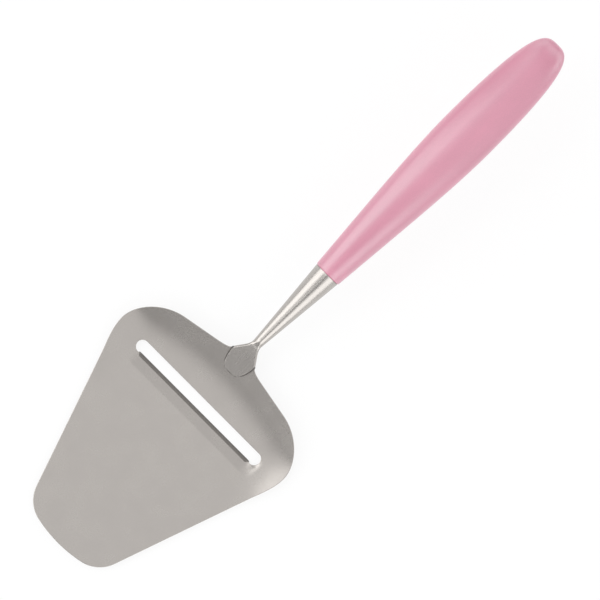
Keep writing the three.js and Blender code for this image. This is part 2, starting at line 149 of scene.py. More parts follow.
class SlicerShank(bpy.types.PropertyGroup):
    """Sizes of the forged shank, along its own slope"""

    pad_overlap: length("Pad overlap", "On the sheet, ahead of where the rear lines meet", 6.8)
    pad_thickness: length("Pad thickness", "Of the flat pad", 1.4)
    pad_nose: length("Pad nose", "Width of the pad's front", 5.4)
    pad_width: length("Pad width", "At its widest", 11.5)
    pad_widest_at: length("Pad widest at", "From the pad's front", 7.4)
    pad_taper: angle("Pad taper", "Of its sides behind the widest", 34)
    cheek: share("Cheek", "Where the curve from the nose to the widest is steered", 0.22)
    draft: length("Draft", "By which the pad's side walls on the sheet lean in", 0.65)
    front_draft: length("Front draft", "By which its front wall leans in", 0.4)
    front_wall: length("Front wall", "Upright foot of those walls", 0.2)
    front_round: length("Front round", "Radius of the pad's edges on the sheet", 0.1)
    flank_round: length("Flank round", "Radius of the pad's edges behind the sheet", 0.66)
    seat_gap: length("Seat gap", "Between the solids of the pad and the sheet", 0.3)
    weld_gap: length("Weld gap", "Left between the visible pad and the sheet", 0.04)
    neck_at: length("Neck at", "Where the stem is thinnest, from the pad's front", 14.58)
    neck_diameter: length("Neck diameter", "Of the stem where it is thinnest", 3.7)
    swell_at: length("Swell at", "From the pad's front to where it starts to thicken", 8.5)
    swell: length("Swell", "By which the pad's top has risen at the ramp", 0.2)
    ramp_at: length("Ramp at", "From the pad's front to the ramp up to the neck", 13.1)
    ramp_run: length("Ramp run", "Length of that ramp", 3.6)
    stem_diameter: length("Stem diameter", "At the handle", 10.2)
    stem_edge: length("Stem edge", "Radius of the stem's edge at the handle", 0.25)
    bore_depth: length("Bore depth", "Of the hole for the rod", 14)


class SlicerHandle(bpy.types.PropertyGroup):
    """Sizes of the moulded skin, along its arched axis"""

    axis_length: length("Axis length", "Along the arch", 114.8)
    turn: angle("Turn", "From the slope of the shank to the slope of the butt", 16)
    step: length("Step", "By which the skin stands proud of the stem", 0.2)
    width: length("Width", "At its widest", 20.1)
    height: length("Height", "At its thickest", 14)
    widest_at: length("Widest at", "From the front", 70.4)
    thickest_at: length("Thickest at", "From the front", 62)
    edge_round: length("Edge round", "Radius of the front edge", 0.45)
    joint: length("Joint", "Hairline left between the stem and the skin", 0.06)
    wall: length("Wall", "Of the skin", 2)
    butt_wall: length("Butt wall", "At the end", 6)
    core_end_round: length("Core end round", "Of the hollow's far end", 5)


class SlicerFinish(bpy.types.PropertyGroup):
    """Colours of the finishes"""

    blade_steel: colour("Blade steel", "Blasted sheet", (0.50, 0.471, 0.445))
    shank_steel: colour("Shank steel", "Satin forging", (0.505, 0.479, 0.454))
    # The bevel is really ground, but its dark colour is painted shade for the dark reflection it
    # shows
    ground_steel_and_painted_shade: colour("Ground steel and painted shade", "Bevel of the cutting edge", (0.2, 0.188, 0.177))
    # Painted shade: a dark colour on the pad's steep walls, for the shadow along its edge
    painted_wall_shade: colour("Painted wall shade", "Dark walls of the pad", (0.13, 0.124, 0.118))
    weld_steel: colour("Weld steel", "Spot welds", (0.36, 0.34, 0.32))
    rod_steel: colour("Rod steel", "Turned rod inside the handle", (0.48, 0.46, 0.43))
    core_plastic: colour("Core plastic", "Inner moulding", (0.78, 0.74, 0.70))
    skin_plastic: colour("Skin plastic", "Pink skin", (0.652, 0.192, 0.307))


# Shares that steer the curves of the outlines
SHOULDER_LEAD_SHARES = (0.3, 0.37)
SHOULDER_TAIL_SHARES = (0.4, 0.6)
WIDTH_SHARES = SimpleNamespace(lead=0.43, rise=0.52, crest=0.24, tail=1, butt=0.52)
HEIGHT_SHARES = SimpleNamespace(lead=0.34, rise=0.78, crest=0.34, tail=0.66, butt=0.82)
FLARE_CURVE_SHARE = 0.8
NOSE_CORNER_SHARE = 0.16
NECK_FILLET_SHARE = 0.42

# Welds: their places as shares of the overlap and of the pad's width, the gap round them in
# the sheet's holes, and the shallow dome below each
FRONT_WELD_SHARE = 0.36
REAR_WELD_SHARE = 0.8
WELD_SPACING_SHARE = 0.5
WELD_CLEARANCE = 0.02 * MM
WELD_CROWN = 0.08 * MM
WELD_CROWN_POWER = 4

# Run on each side of the joint in which the stem and the skin lean, so that it stands upright
JOINT_LEAN_RUN = 12 * MM

# Steps between points along the outlines, and across the sheet
OUTLINE_STEP = 0.45 * MM
SLOT_STEP = 0.22 * MM
PAD_STEP = 0.16 * MM
ACROSS_STEP = 1.3 * MM
LIP_END_STEP = 0.35 * MM
CHORDS = 24

# Rows of points across the sheet in each part of its length, with a band of narrow faces
# along its edges, and the margin that those rows keep to every line
FLAT_ROWS = 22
LIP_ROWS = 20
SLOT_ROWS = 6
REAR_ROWS = 34
GUARD_WIDTH = 0.14 * MM
GRID_MARGIN = 0.35 * MM
PLAN_TOLERANCE = 1e-6
BATCH = 512

# Rings along each round piece and points round it. The points of the shank's rings follow the
# turning of their outline by this share, and its length by the rest.
ROUND_STEPS = 6
WELD_RINGS = 6
NECK_RINGS = 12
STEM_RINGS = 60
LEAD_RINGS = 90
TAIL_RINGS = 90
HOLLOW_RING_STEP = 4
QUARTER_STEPS = 18
TURN_SHARE = 0.5
SKIN_SIDES = 112
SEARCH_STEPS = 40

# Edges sharper than this aren't shaded smooth
SHARP_ANGLE = math.radians(19)

# Where a second finish starts: on the sheet's top face where it is ground, and on the walls
# of the pad that are steeper than this. Both second finishes are coloured dark as painted shade.
TOP_SHARE = 0.9
GROUND_SHARE = 0.01
WALL_NORMAL = 0.8

# Looks of the finishes. Each has layers of noise, which are like LAYER in all that they don't
# name, with a grain that is longer along the axes that stretch. A tone of 1 takes the colour
# from one tint to the other, and a layer's roughness is added to that of the whole. The first
# layer also makes the bump, which is that high. Plain values are the same all over.
METAL = {"Metallic": 1}
NOISE_MIDDLE = 0.5
LAYER = {"stretch": (1, 1, 1), "detail": 2, "rough": 0.5, "tone": 0, "roughness": 0}
LOOKS = {
    # Stainless sheet with a fine blasted grain and a faint mottle
    "blasted sheet steel": {
        "layers": (
            {"grain": 0.28 * MM, "detail": 3, "rough": 0.6, "tone": 0.5, "roughness": 0.02},
            {"grain": 9 * MM, "tone": 0.6, "roughness": 0.03},
        ),
        "tints": (0.93, 1.07),
        "roughness": 0.27,
        "bump": 0.0002 * MM,
        "plain": METAL,
    },
    # Steel ground with lines square to the cutting edge, with its colour darkened far below
    # steel's as painted shade for the bevel's dark reflection
    "ground bevel with painted shade": {
        "layers": (
            {
                "grain": 0.07 * MM,
                "stretch": (30, 1, 30),
                "detail": 3,
                "rough": 0.7,
                "tone": 1,
                "roughness": 0.12,
            },
        ),
        "tints": (0.85, 1.15),
        "roughness": 0.32,
        "bump": 0.004 * MM,
        "plain": METAL,
    },
    # Satin forging, brushed along its length
    "satin forged steel": {
        "layers": (
            {
                "grain": 0.12 * MM,
                "stretch": (40, 1, 1),
                "detail": 3,
                "rough": 0.65,
                "tone": 0.6,
                "roughness": 0.02,
            },
            {"grain": 1.2 * MM, "stretch": (3, 1, 1), "tone": 0.6, "roughness": 0.02},
        ),
        "tints": (0.94, 1.06),
        "roughness": 0.27,
        "bump": 0.0001 * MM,
        "plain": METAL,
    },
    # Dark colour of the pad's steep walls on the sheet: painted shade for the shadow and dark
    # reflection along the pad's edge
    "painted wall shade": {
        "layers": ({"grain": 0.4 * MM, "detail": 3, "rough": 0.6, "tone": 1, "roughness": 0.12},),
        "tints": (0.75, 1.25),
        "roughness": 0.48,
        "bump": 0.01 * MM,
        "plain": METAL,
    },
    # Fused steel with a heat tint that turns from straw to blue
    "fused weld": {
        "layers": (
            {"grain": 0.35 * MM, "detail": 3, "rough": 0.6, "roughness": 0.2},
            {"grain": 1.1 * MM, "detail": 1, "tone": 1.6},
        ),
        "tints": ((1.25, 1.05, 0.7), (0.75, 0.85, 1.15)),
        "roughness": 0.52,
        "bump": 0.02 * MM,
        "plain": METAL,
    },
    # Turned steel, with fine rings from the tool
    "turned rod steel": {
        "layers": ({"grain": 0.15 * MM, "stretch": (1, 40, 40), "tone": 1, "roughness": 0.15},),
        "tints": (0.85, 1.1),
        "roughness": 0.375,
        "bump": 0.01 * MM,
        "plain": METAL,
    },
    # Pale moulding compound with a faint flow pattern
    "moulded core": {
        "layers": (
            {"grain": 0.25 * MM, "roughness": 0.15},
            {"grain": 3 * MM, "stretch": (4, 1, 1), "detail": 3, "tone": 1},
        ),
        "tints": (0.92, 1.05),
        "roughness": 0.575,
        "bump": 0.02 * MM,
        "plain": {"Metallic": 0},
    },
    # Satin pink moulding with the fine grain of an eroded mould
    "satin pink skin": {
        "layers": (
            {"grain": 0.3 * MM, "detail": 3, "rough": 0.55, "tone": 1.3, "roughness": 0.14},
            {"grain": 6 * MM, "stretch": (3, 1, 1), "tone": 0.7, "roughness": 0.04},
        ),
        "tints": (0.9, 1.1),
        "roughness": 0.36,
        "bump": 0.012 * MM,
        "plain": {
            "Metallic": 0,
            "IOR": 1.79,
            "Specular IOR Level": 1,
            "Specular Tint": (0.62, 1, 0.9, 1),
            "Sheen Weight": 0.3,
            "Sheen Roughness": 0.35,
            "Coat Weight": 0.6,
            "Coat Roughness": 0.34,
        },
    },
}

# Picture: the tool lies on a diagonal, and the camera looks straight down
PICTURE_TURN = math.radians(-44.883)
PICTURE_CENTRE = (89.06 * MM, 0.335 * MM, 12 * MM)
PICTURE_WIDTH = 210 * MM
CAMERA_DISTANCE = 6

# Studio: a pale floor, a large soft box overhead and others round the tool. Turns and widths
# of those are seen from its middle, and heights are above the floor, all in degrees.
FLOOR_SIZE = 4
FLOOR_TONE = 0.95
FLOOR_WHITE_SHARE = 0.85
WORLD_LEVEL = 0.35
OVERHEAD_PLACE = (0.165, -0.09, 1)
OVERHEAD_SIZE = (1.0, 1.38)
OVERHEAD_LEVEL = 0.57
STAGE_MIDDLE = (90 * MM, 0, 0)
SIDE_DISTANCE = 1.2
SIDE_BOXES = (
    SimpleNamespace(turn=116, width=42, low=8, high=62, level=1.72),
    SimpleNamespace(turn=103, width=46, low=58, high=74, level=0.78),
    SimpleNamespace(turn=76, width=24, low=16, high=42, level=0.45),
    SimpleNamespace(turn=55, width=30, low=38, high=58, level=1.2),
    SimpleNamespace(turn=42, width=44, low=2, high=30, level=1.2),
    SimpleNamespace(turn=156, width=38, low=6, high=45, level=1.85),
    SimpleNamespace(turn=-119, width=28, low=6, high=46, level=1.6),
    SimpleNamespace(turn=-146, width=26, low=6, high=44, level=1.65),
    SimpleNamespace(turn=177, width=16, low=40, high=53, level=1.3),
    SimpleNamespace(turn=-80, width=46, low=6, high=50, level=0.5),
    SimpleNamespace(turn=-42, width=44, low=2, high=30, level=1.4),
    SimpleNamespace(turn=0, width=44, low=18, high=48, level=1.15),
)


# Curves and outlines


def spread(start, end, count):
    return [start + (end - start) * i / count for i in range(count + 1)]


def eased_part(value):
    """From 0 to 1, slow at both ends."""
    part = min(1, max(0, value))
    return part * part * (3 - 2 * part)


def arc(centre, radius, start, end):
    def at(part):
        turn = start + (end - start) * part
        return centre + radius * Vector((math.cos(turn), math.sin(turn)))

    return at


def curve(*steer):
    """A line, or a Bézier curve, from the first point to the last."""

    def at(part):
        points = list(steer)
        while len(points) > 1:
            points = [a.lerp(b, part) for a, b in zip(points, points[1:])]
        return points[0]

    return at


def trace(curves, step):
    """Points along curves that follow each other, about one step apart."""
    points = []
    for at in curves:
        chords = [at(i / CHORDS) for i in range(CHORDS + 1)]
        run = sum((b - a).length for a, b in zip(chords, chords[1:]))
        count = max(1, round(run / step))
        points += [at(i / count) for i in range(count)]
    return points


def flipped(point):
    return Vector((point.x, -point.y))


def blade_places(blade):
    """Places along and across the blade that follow from its sizes."""
    at = SimpleNamespace(tip_x=BLADE_LOW.x, tab_x=BLADE_HIGH.x, half_width=BLADE_HIGH.y)
    at.crease_x = at.tip_x + blade.sole_length
    at.edge_x = at.crease_x + blade.lip_run
    at.slot_front_x = at.edge_x - blade.lip_reach
    at.slot_rear_x = at.edge_x + blade.slot_clear
    at.slot_mid_x = (at.slot_front_x + at.slot_rear_x) / 2
    at.slot_radius = (at.slot_rear_x - at.slot_front_x) / 2
    at.slot_end_y = blade.slot_length / 2 - at.slot_radius
    at.edge_end_y = at.slot_end_y - blade.lip_corner
    at.lip_end_y = blade.slot_length / 2 + blade.lip_end_reach
    at.bend_x = at.slot_rear_x + blade.bend_setback + blade.bend_radius * math.tan(blade.rise / 2)
    at.widest_x = at.crease_x + blade.widest_setback
    at.rear_x = at.widest_x + blade.rear_reach
    return at


def tip_corner(blade, at):
    """Centre of the left front corner, which touches the tip's arc and the straight side."""
    taper = blade.side_taper
    forward = Vector((math.cos(taper), math.sin(taper)))
    inward = Vector((math.sin(taper), -math.cos(taper)))
    on_side = Vector((at.crease_x, at.half_width - blade.crease_inset))
    start = on_side + inward * blade.corner_radius
    offset = start - Vector((at.tip_x + blade.tip_radius, 0))
    reach = blade.tip_radius - blade.corner_radius
    lean = offset.dot(forward)
    back = lean + math.sqrt(lean * lean - offset.length_squared + reach * reach)
    return start - forward * back


def blade_outline(blade, at, pad_width):
    """Curves round the sheet, against the clock from the tip's left corner."""
    taper = blade.side_taper
    sweep = blade.rear_sweep
    corner = tip_corner(blade, at)
    tip_centre = Vector((at.tip_x + blade.tip_radius, 0))
    turn = math.atan2(corner.y, corner.x - tip_centre.x)
    side_turn = math.pi / 2 + taper
    lead_x = at.widest_x - blade.shoulder_lead
    lead = Vector(
        (lead_x, at.half_width - blade.crease_inset - (at.crease_x - lead_x) * math.tan(taper))
    )
    lead_steer = blade.shoulder_lead * SHOULDER_LEAD_SHARES[0]
    lead_out = lead + lead_steer * Vector((math.cos(taper), math.sin(taper)))
    widest = Vector((at.widest_x, at.half_width))
    widest_in = widest - Vector((blade.shoulder_lead * SHOULDER_LEAD_SHARES[1], 0))
    tail_y = blade.rear_span / 2
    tail = Vector((at.rear_x - tail_y * math.tan(sweep), tail_y))
    tail_run = tail.x - widest.x
    widest_out = widest + Vector((tail_run * SHOULDER_TAIL_SHARES[0], 0))
    tail_steer = tail_run * SHOULDER_TAIL_SHARES[1]
    tail_in = tail + tail_steer * Vector((-math.sin(sweep), math.cos(sweep)))
    tab_y = pad_width / 2 - blade.tab_inset
    fillet_y = tab_y + blade.tab_fillet
    fillet = Vector((at.rear_x - fillet_y * math.tan(sweep), fillet_y))
    fillet_steer = Vector((at.rear_x - tab_y * math.tan(sweep), tab_y))
    tab = Vector((at.tab_x, tab_y))
    left_side = arc(corner, blade.corner_radius, side_turn, turn)(0)
    right_corner = flipped(corner)
    right = [flipped(p) for p in (lead, lead_out, widest_in, widest, widest_out, tail_in, tail)]
    return [
        arc(tip_centre, blade.tip_radius, turn, 2 * math.pi - turn),
        arc(right_corner, blade.corner_radius, 2 * math.pi - turn, 2 * math.pi - side_turn),
        curve(flipped(left_side), right[0]),
        curve(*right[0:4]),
        curve(*right[3:7]),
        curve(right[6], flipped(fillet)),
        curve(flipped(fillet), flipped(fillet_steer), flipped(tab)),
        curve(flipped(tab), tab),
        curve(tab, fillet_steer, fillet),
        curve(fillet, tail),
        curve(tail, tail_in, widest_out, widest),
        curve(widest, widest_in, lead_out, lead),
        curve(lead, left_side),
        arc(corner, blade.corner_radius, side_turn, turn),
    ]


def slot_outline(at):
    """Curves round the slot, against the clock, with the cutting edge between its round ends."""
    left_end = Vector((at.slot_mid_x, at.slot_end_y))
    punched = Vector((at.slot_front_x, at.slot_end_y))
    edge = Vector((at.edge_x, at.edge_end_y))
    steer_out = Vector((punched.x, (punched.y + edge.y) / 2))
    steer_in = Vector((edge.x, (punched.y + edge.y) / 2))
    rear = Vector((at.slot_rear_x, at.slot_end_y))
    return [
        arc(left_end, at.slot_radius, 0, math.pi),
        curve(punched, steer_out, steer_in, edge),
        curve(edge, flipped(edge)),
        curve(flipped(edge), flipped(steer_in), flipped(steer_out), flipped(punched)),
        arc(flipped(left_end), at.slot_radius, math.pi, 2 * math.pi),
        curve(flipped(rear), rear),
    ]


# Arithmetic on the values of a node tree


class Field:
    """A value inside a node tree. Arithmetic on it adds math nodes."""

    def __init__(self, tree, socket):
        self.tree = tree
        self.socket = socket

    def __add__(self, other):
        return maths(self.tree, "ADD", self, other)

    def __sub__(self, other):
        return maths(self.tree, "SUBTRACT", self, other)

    def __rsub__(self, other):
        return maths(self.tree, "SUBTRACT", other, self)

    def __mul__(self, other):
        return maths(self.tree, "MULTIPLY", self, other)

    def __truediv__(self, other):
        return maths(self.tree, "DIVIDE", self, other)

    __radd__ = __add__
    __rmul__ = __mul__


def plug(tree, value, socket):
    """Puts a field on a socket, or sets the socket to a plain value."""
    if isinstance(value, Field):
        tree.links.new(value.socket, socket)
    else:
        socket.default_value = value


def maths(tree, operation, *values):
    node = tree.nodes.new("ShaderNodeMath")
    node.operation = operation
    for value, socket in zip(values, node.inputs):
        plug(tree, value, socket)
    return Field(tree, node.outputs[0])


def held(value, low, high):
    return maths(value.tree, "MINIMUM", maths(value.tree, "MAXIMUM", value, low), high)


def eased(value):
    part = held(value, 0, 1)
    return part * part * (3 - 2 * part)


def parts_of(tree, vector):
    node = tree.nodes.new("ShaderNodeSeparateXYZ")
    plug(tree, vector, node.inputs[0])
    return [Field(tree, socket) for socket in node.outputs]


def joined(tree, *parts):
    node = tree.nodes.new("ShaderNodeCombineXYZ")
    for value, socket in zip(parts, node.inputs):
        plug(tree, value, socket)
    return Field(tree, node.outputs[0])


# Geometry node trees


def shape_tree(name, sizes):
    """A tree with the geometry and the named sizes as its inputs."""
    tree = bpy.data.node_groups.new(name, "GeometryNodeTree")
    tree.is_modifier = True
    tree.interface.new_socket("Geometry", in_out="INPUT", socket_type="NodeSocketGeometry")
    tree.interface.new_socket("Geometry", in_out="OUTPUT", socket_type="NodeSocketGeometry")
    for size, value in sizes.items():
        kind = "NodeSocketMaterial" if isinstance(value, bpy.types.Material) else "NodeSocketFloat"
        tree.interface.new_socket(size, in_out="INPUT", socket_type=kind)
    given = tree.nodes.new("NodeGroupInput")
    return tree, {socket.name: Field(tree, socket) for socket in given.outputs if socket.name}


def end_tree(tree, geometry):
    result = tree.nodes.new("NodeGroupOutput")
    tree.links.new(geometry.socket, result.inputs[0])


def through(tree, kind, geometry, **values):
    """Sends the geometry through a node, with values for its other inputs by their names."""
    node = tree.nodes.new(kind)
    tree.links.new(geometry.socket, node.inputs["Geometry"])
    for name, value in values.items():
        plug(tree, value, node.inputs[name.replace("_", " ")])
    return Field(tree, node.outputs[0])


def shaped(name, mesh, tree, sizes):
    """A piece made by running a tree on a mesh, as a plain mesh."""
    source = bpy.data.objects.new(name + "_source", mesh)
    bpy.context.scene.collection.objects.link(source)
    modifier = source.modifiers.new(tree.name, "NODES")
    modifier.node_group = tree
    for item in tree.interface.items_tree:
        if item.in_out == "INPUT" and item.name in sizes:
            modifier[item.identifier] = sizes[item.name]
    graph = bpy.context.evaluated_depsgraph_get()
    result = bpy.data.meshes.new_from_object(source.evaluated_get(graph))
    source.modifiers.clear()
    bpy.data.objects.remove(source)
    bpy.data.meshes.remove(mesh)
    result.name = name
    return result


def press_sizes(blade, at):
    """Named inputs of the press, which the sheet and its welds share."""
    return {
        "Thickness": blade.thickness,
        "Crease X": at.crease_x,
        "Edge X": at.edge_x,
        "Slot Middle X": at.slot_mid_x,
        "Slot Rear X": at.slot_rear_x,
        "Lip Run": blade.lip_run,
        "Lip Drop": -BLADE_LOW.z,
        "Lip Curve Share": blade.lip_curve,
        "Lip End Y": at.lip_end_y,
        "Lip End Run": blade.lip_end_run,
        "Bevel Run": blade.bevel_run,
        "Bevel End Y": at.slot_end_y,
        "Bevel End Run": blade.bevel_end_run,
        "Edge Land": blade.edge_land,
        "Bend X": at.bend_x,
        "Bend Run": blade.bend_run,
        "Bend Line Radius": blade.bend_line_radius,
        "Rise": blade.rise,
        "Flare X": at.crease_x + blade.flare_at,
        "Flare Y": at.half_width - blade.flare_width,
        "Flare Width": blade.flare_width,
        "Flare Height": blade.flare_height,
        "Flare Lead": blade.flare_lead,
        "Flare Tail": blade.flare_tail,
    }


def curved_in(tree, run, part):
    """Height of a surface that curves up over that part of its run and is straight after it,
    from 0 to 1."""
    curving = maths(tree, "MINIMUM", run, part)
    return (curving * curving / (2 * part) + (run - curving)) / (1 - part / 2)


def bend_at(tree, given, x, y):
    """Height and slope of the sheet behind the bend, whose line is bowed."""
    line_radius = given["Bend Line Radius"]
    bow = line_radius - maths(tree, "SQRT", line_radius * line_radius - y * y)
    from_start = x - given["Bend X"] + bow + given["Bend Run"] / 2
    bend = held(from_start / given["Bend Run"], 0, 1)
    past = maths(tree, "MAXIMUM", from_start - given["Bend Run"], 0)
    steepest = maths(tree, "TANGENT", given["Rise"])
    return steepest * (given["Bend Run"] * bend * bend / 2 + past), steepest * bend


def lip_at(tree, given, x, side):
    """Depth of the lip, which fades at its ends and round the slot behind its edge."""
    run = held((x - given["Crease X"]) / given["Lip Run"], 0, 1)
    end_fade = eased((given["Lip End Y"] - side) / given["Lip End Run"])
    slot_run = given["Slot Rear X"] - given["Edge X"]
    edge_fade = eased((given["Slot Rear X"] - x) / slot_run)
    dropped = curved_in(tree, run, given["Lip Curve Share"])
    return dropped * end_fade * edge_fade * given["Lip Drop"]


def bevel_at(tree, given, x, side):
    """Depth that the grinding takes off the top of the lip, towards its edge."""
    ahead = maths(tree, "LESS_THAN", x, given["Slot Middle X"])
    fade = eased((given["Bevel End Y"] - side) / given["Bevel End Run"])
    from_edge = maths(tree, "MAXIMUM", given["Edge X"] - x, 0)
    deepest = given["Thickness"] - given["Edge Land"]
    ground = deepest * (fade - from_edge / given["Bevel Run"]) * ahead
    return maths(tree, "MAXIMUM", ground, 0)


def flare_at(tree, given, x, side):
    """Height by which the outer part of each shoulder flares up."""
    outer = maths(tree, "MAXIMUM", side - given["Flare Y"], 0) / given["Flare Width"]
    before = (given["Flare X"] - x) / given["Flare Lead"]
    behind = (x - given["Flare X"]) / given["Flare Tail"]
    near = eased(1 - maths(tree, "MAXIMUM", before, behind))
    return curved_in(tree, outer, FLARE_CURVE_SHARE) * near * given["Flare Height"]


def pressed(tree, given, place):
    """The place of a flat blank's point once the press has bent the sheet, and how deep the
    grinding goes there."""
    x, y, z = parts_of(tree, place)
    side = maths(tree, "ABSOLUTE", y)
    climb, slope = bend_at(tree, given, x, y)
    ground = bevel_at(tree, given, x, side)
    underside = climb - lip_at(tree, given, x, side) + flare_at(tree, given, x, side)
    wall = (given["Thickness"] - ground) * maths(tree, "SQRT", slope * slope + 1)
    return joined(tree, x, y, underside + z / given["Thickness"] * wall), ground


def position(tree):
    return Field(tree, tree.nodes.new("GeometryNodeInputPosition").outputs[0])


def press_tree(sizes):
    """Bends a flat blank into the sheet, and gives the ground bevel its own finish."""
    tree, given = shape_tree("Press the sheet", sizes)
    place = position(tree)
    _, _, z = parts_of(tree, place)
    moved, ground = pressed(tree, given, place)
    on_top = maths(tree, "GREATER_THAN", z / given["Thickness"], TOP_SHARE)
    on_bevel = maths(tree, "GREATER_THAN", ground / given["Thickness"], GROUND_SHARE) * on_top
    whole = through(tree, "GeometryNodeRealizeInstances", given["Geometry"])
    for finish, chosen in (("Sheet Finish", True), ("Bevel Finish", on_bevel)):
        whole = through(
            tree, "GeometryNodeSetMaterial", whole, Material=given[finish], Selection=chosen
        )
    end_tree(tree, through(tree, "GeometryNodeSetPosition", whole, Position=moved))
    return tree


def weld_tree(sizes):
    """Sets the plug of one weld at the three places below the pad, and bends them as the sheet."""
    tree, given = shape_tree("Spot welds", sizes)
    gather = tree.nodes.new("GeometryNodeJoinGeometry")
    for count, along in ((1, given["Front X"]), (2, given["Rear X"])):
        points = tree.nodes.new("GeometryNodePoints")
        points.inputs["Count"].default_value = count
        index = Field(tree, tree.nodes.new("GeometryNodeInputIndex").outputs[0])
        across = given["Spacing"] * index - given["Spacing"] / 2 if count > 1 else 0
        plug(tree, joined(tree, along, across, 0), points.inputs["Position"])
        spots = tree.nodes.new("GeometryNodeInstanceOnPoints")
        tree.links.new(points.outputs[0], spots.inputs["Points"])
        tree.links.new(given["Geometry"].socket, spots.inputs["Instance"])
        tree.links.new(spots.outputs[0], gather.inputs[0])
    whole = through(tree, "GeometryNodeRealizeInstances", Field(tree, gather.outputs[0]))
    whole = through(tree, "GeometryNodeSetMaterial", whole, Material=given["Weld Finish"])
    moved, _ = pressed(tree, given, position(tree))
    end_tree(tree, through(tree, "GeometryNodeSetPosition", whole, Position=moved))
    return tree


def arch_tree(sizes):
    """Bends a straight handle along its arch and sets it at the end of the sloping shank."""
    tree, given = shape_tree("Arch the handle", sizes)
    x, y, z = parts_of(tree, position(tree))
    radius = given["Arch Radius"]
    turn = maths(tree, "MAXIMUM", x, 0) / radius
    along = given["Start"] + maths(tree, "MINIMUM", x, 0)
    along = along + (radius + z) * maths(tree, "SINE", turn)
    up = (radius + z) * maths(tree, "COSINE", turn) - radius
    cosine = maths(tree, "COSINE", given["Rise"])
    sine = maths(tree, "SINE", given["Rise"])
    moved = joined(
        tree,
        given["Pad X"] + along * cosine - up * sine,
        y,
        given["Pad Z"] + along * sine + up * cosine,
    )
    whole = through(tree, "GeometryNodeRealizeInstances", given["Geometry"])
    whole = through(tree, "GeometryNodeSetMaterial", whole, Material=given["Skin Finish"])
    end_tree(tree, through(tree, "GeometryNodeSetPosition", whole, Position=moved))
    return tree


# Meshes


def outward(points):
    """Unit vectors square to a closed outline that runs against the clock, pointing out."""
    tangent = np.roll(points, -1, axis=0) - np.roll(points, 1, axis=0)
    tangent /= np.linalg.norm(tangent, axis=1)[:, None]
    return np.stack([tangent[:, 1], -tangent[:, 0]], axis=1)


def inside(points, outline):
    """Which points lie inside an outline, by counting crossings of a line to the right."""
    result = np.zeros(len(points), bool)
    for a, b in zip(outline, np.roll(outline, -1, axis=0)):
        spans = (a[1] > points[:, 1]) != (b[1] > points[:, 1])
        run = (points[:, 1] - a[1]) / (b[1] - a[1] if b[1] != a[1] else 1)
        result ^= spans & (points[:, 0] < a[0] + run * (b[0] - a[0]))
    return result


def clear_of(points, lines, margin):
    """The points that keep a margin to every point of the lines."""
    keep = np.ones(len(points), bool)
    for line in lines:
        for start in range(0, len(points), BATCH):
            part = points[start : start + BATCH]
            gaps = np.linalg.norm(part[:, None, :] - line[None, :, :], axis=2).min(axis=1)
            keep[start : start + BATCH] &= gaps > margin
    return points[keep]


def cut_plan(flats, guards, creases, grid):
    """Points and triangles inside the first of the flat outlines and outside the others. Every
    line given stays as edges, and grid points fill the rest."""
    closed = flats + guards
    grid = clear_of(grid, closed + creases, GRID_MARGIN)
    plan = np.concatenate(closed + creases + [grid])
    edges = []
    start = 0
    for i, line in enumerate(closed + creases):
        edges += [(start + j, start + j + 1) for j in range(len(line) - 1)]
        if i < len(closed):
            edges.append((start + len(line) - 1, start))
        start += len(line)
    made = delaunay_2d_cdt([Vector(p) / MM for p in plan], edges, [], 0, PLAN_TOLERANCE)
    if len(made[0]) != len(plan):
        raise RuntimeError("the outlines and creases of the sheet cross or touch each other")
    source = [origins[0] for origins in made[3]]
    faces = np.array([[source[i] for i in face] for face in made[2]])
    middle = plan[faces].mean(axis=1)
    keep = inside(middle, flats[0])
    for hole in flats[1:]:
        keep &= ~inside(middle, hole)
    faces = faces[keep]
    used = np.unique(faces)
    renumber = np.full(len(plan), -1)
    renumber[used] = np.arange(len(used))
    return plan[used], renumber[faces]


def blank(outlines, creases, grid, thickness, edge_round):
    """A flat closed sheet with round edges, as points and faces. The first outline is the
    sheet's own and the others are its holes. Its flat faces have points on the grid."""
    normals = [outward(outline) * (-1 if i else 1) for i, outline in enumerate(outlines)]
    edged = list(zip(outlines, normals))
    flats = [outline - normal * edge_round for outline, normal in edged]
    guards = [outline - normal * (edge_round + GUARD_WIDTH) for outline, normal in edged]
    plan, faces = cut_plan(flats, guards, creases, grid)
    count = len(plan)
    points = [(x, y, thickness) for x, y in plan] + [(x, y, 0) for x, y in plan]
    cells = [tuple(f) for f in faces] + [tuple(count + f[::-1]) for f in faces]
    turns = spread(0, math.pi / 2, ROUND_STEPS)
    steps = [(turn, thickness - edge_round) for turn in turns[1:]]
    steps += [(turn + math.pi / 2, edge_round) for turn in turns[:-1]]
    first = 0
    for outline, normal in edged:
        size = len(outline)
        ring = [first + i for i in range(size)]
        for turn, level in steps:
            moved = outline + normal * edge_round * (math.sin(turn) - 1)
            height = level + edge_round * math.cos(turn)
            new_ring = [len(points) + i for i in range(size)]
            points += [(x, y, height) for x, y in moved]
            cells += walls(ring, new_ring)
            ring = new_ring
        cells += walls(ring, [count + first + i for i in range(size)])
        first += size
    return points, cells


def walls(near, far):
    """Four-sided faces between two closed rings."""
    size = len(near)
    return [
        (near[i], near[(i + 1) % size], far[(i + 1) % size], far[i]) for i in range(size)
    ]


def solid_mesh(name, points, cells, sharp=SHARP_ANGLE):
    """A mesh with its faces pointing out, smooth except where it turns sharply."""
    mesh = bpy.data.meshes.new(name)
    mesh.from_pydata([tuple(p) for p in points], [], [tuple(map(int, c)) for c in cells])
    work = bmesh.new()
    work.from_mesh(mesh)
    bmesh.ops.recalc_face_normals(work, faces=work.faces)
    work.to_mesh(mesh)
    work.free()
    smooth(mesh, sharp)
    return mesh


def smooth(mesh, sharp=SHARP_ANGLE):
    mesh.shade_smooth()
    mesh.set_sharp_from_angle(angle=sharp)
    mesh.update()


